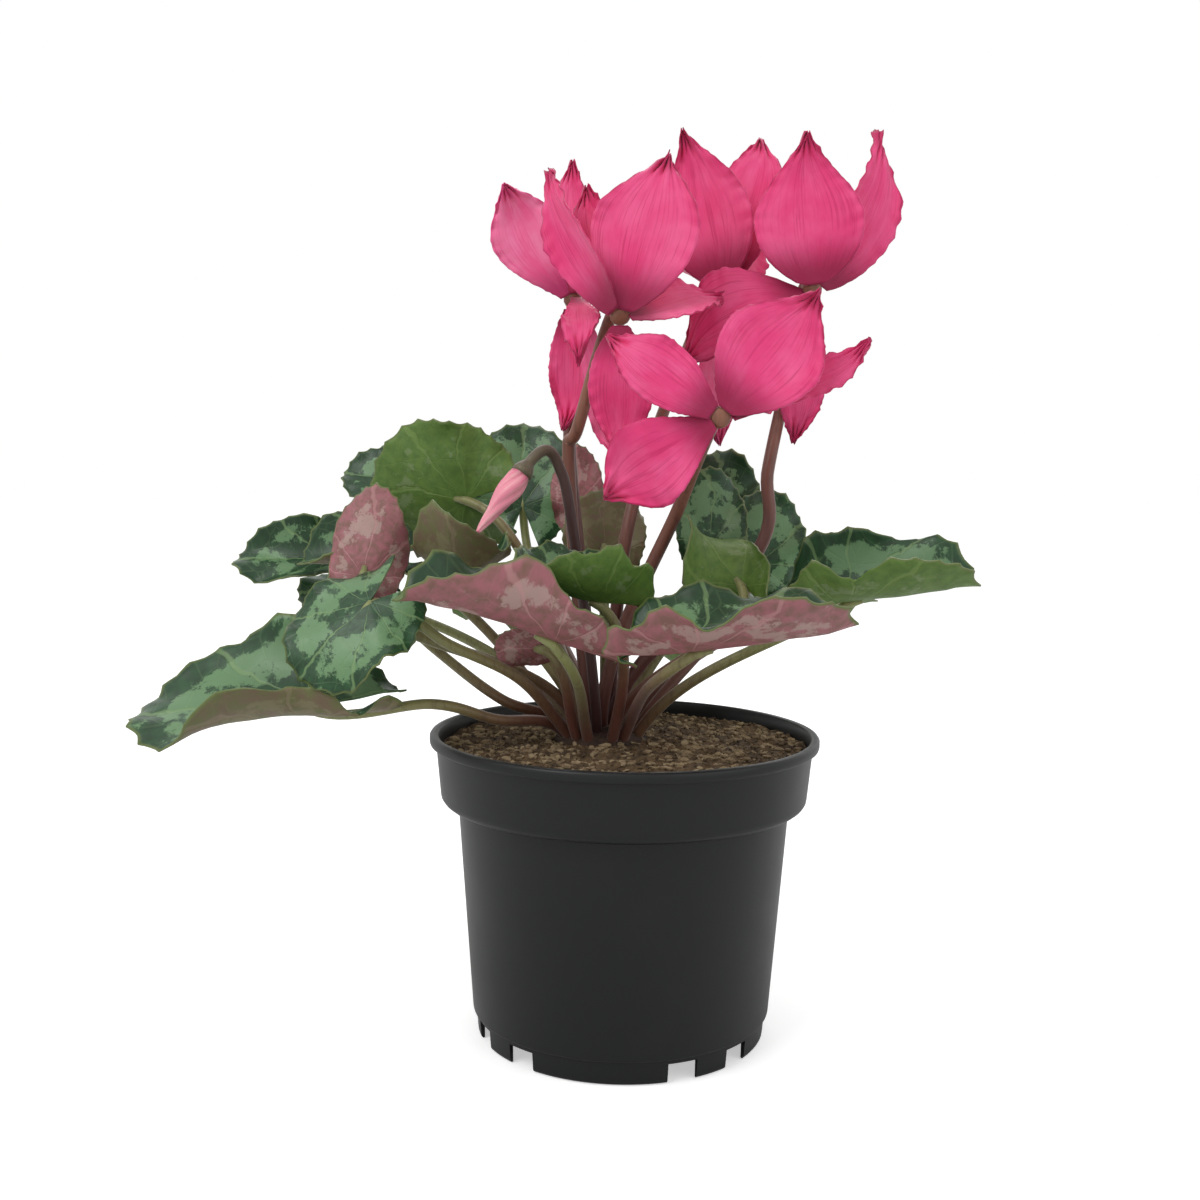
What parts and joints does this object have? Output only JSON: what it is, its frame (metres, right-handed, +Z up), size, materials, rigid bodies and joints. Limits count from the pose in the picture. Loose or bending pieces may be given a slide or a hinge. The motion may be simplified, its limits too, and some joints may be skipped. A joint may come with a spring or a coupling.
{
  "type": "potted cyclamen",
  "caption": "Flowering cyclamen in a round black nursery pot: patterned heart-shaped leaves and swept-back fringed pink petals on long stalks above soil.",
  "frame": {"origin": "Middle of the pot's underside, on the surface that the pot stands on.", "axes": "+Z up along the pot's axis. -Y is the front, the side with the lowest front leaf and the most open flower. +X is to the right seen from the front."},
  "size_m": [0.2707, 0.1972, 0.3106],
  "materials": {
    "pot_plastic": "black moulded polypropylene, satin wall and a glossier lip",
    "soil": "coarse brown peat and bark, dry on top",
    "tuber_skin": "dark corky skin",
    "leaf": "dark green with silver-grey marbling and pale veins, waxy; paler or pink-brown below",
    "flower_stalk": "fleshy red-brown stalk, fine hairs",
    "petal": "soft hot pink with fine darker veins and a dark magenta throat and fringe"
  },
  "bodies": {
    "root": {"pot": "pot_plastic", "soil": "soil", "tuber": "tuber_skin", "leaf_left_low": "leaf", "leaf_left_front": "leaf", "leaf_left_back": "leaf", "leaf_left_tip": "leaf", "leaf_left_grey": "leaf", "leaf_left_high": "leaf", "leaf_standing": "leaf", "leaf_silver_back": "leaf", "leaf_pink_left": "leaf", "leaf_cupped": "leaf", "leaf_centre": "leaf", "leaf_folded": "leaf", "leaf_front": "leaf", "leaf_right": "leaf", "leaf_dark_back": "leaf", "leaf_right_inner": "leaf", "leaf_silver_centre": "leaf", "leaf_brown_centre": "leaf", "leaf_pink_back": "leaf", "leaf_long_front": "leaf", "leaf_young": "leaf", "leaf_rear_left": "leaf", "leaf_rear": "leaf", "leaf_rear_right": "leaf", "flower_stalk_left": "flower_stalk", "petal_left_1": "petal", "petal_left_2": "petal", "petal_left_3": "petal", "petal_left_4": "petal", "petal_left_5": "petal", "flower_stalk_far_left": "flower_stalk", "petal_far_left_1": "petal", "petal_far_left_2": "petal", "petal_far_left_3": "petal", "petal_far_left_4": "petal", "petal_far_left_5": "petal", "flower_stalk_back": "flower_stalk", "petal_back_1": "petal", "petal_back_2": "petal", "petal_back_3": "petal", "petal_back_4": "petal", "petal_back_5": "petal", "flower_stalk_right": "flower_stalk", "petal_right_1": "petal", "petal_right_2": "petal", "petal_right_3": "petal", "petal_right_4": "petal", "petal_right_5": "petal", "flower_stalk_front": "flower_stalk", "petal_front_1": "petal", "petal_front_2": "petal", "petal_front_3": "petal", "petal_front_4": "petal", "petal_front_5": "petal", "bud_stalk": "flower_stalk", "bud": "petal"}
  },
  "joints": []
}
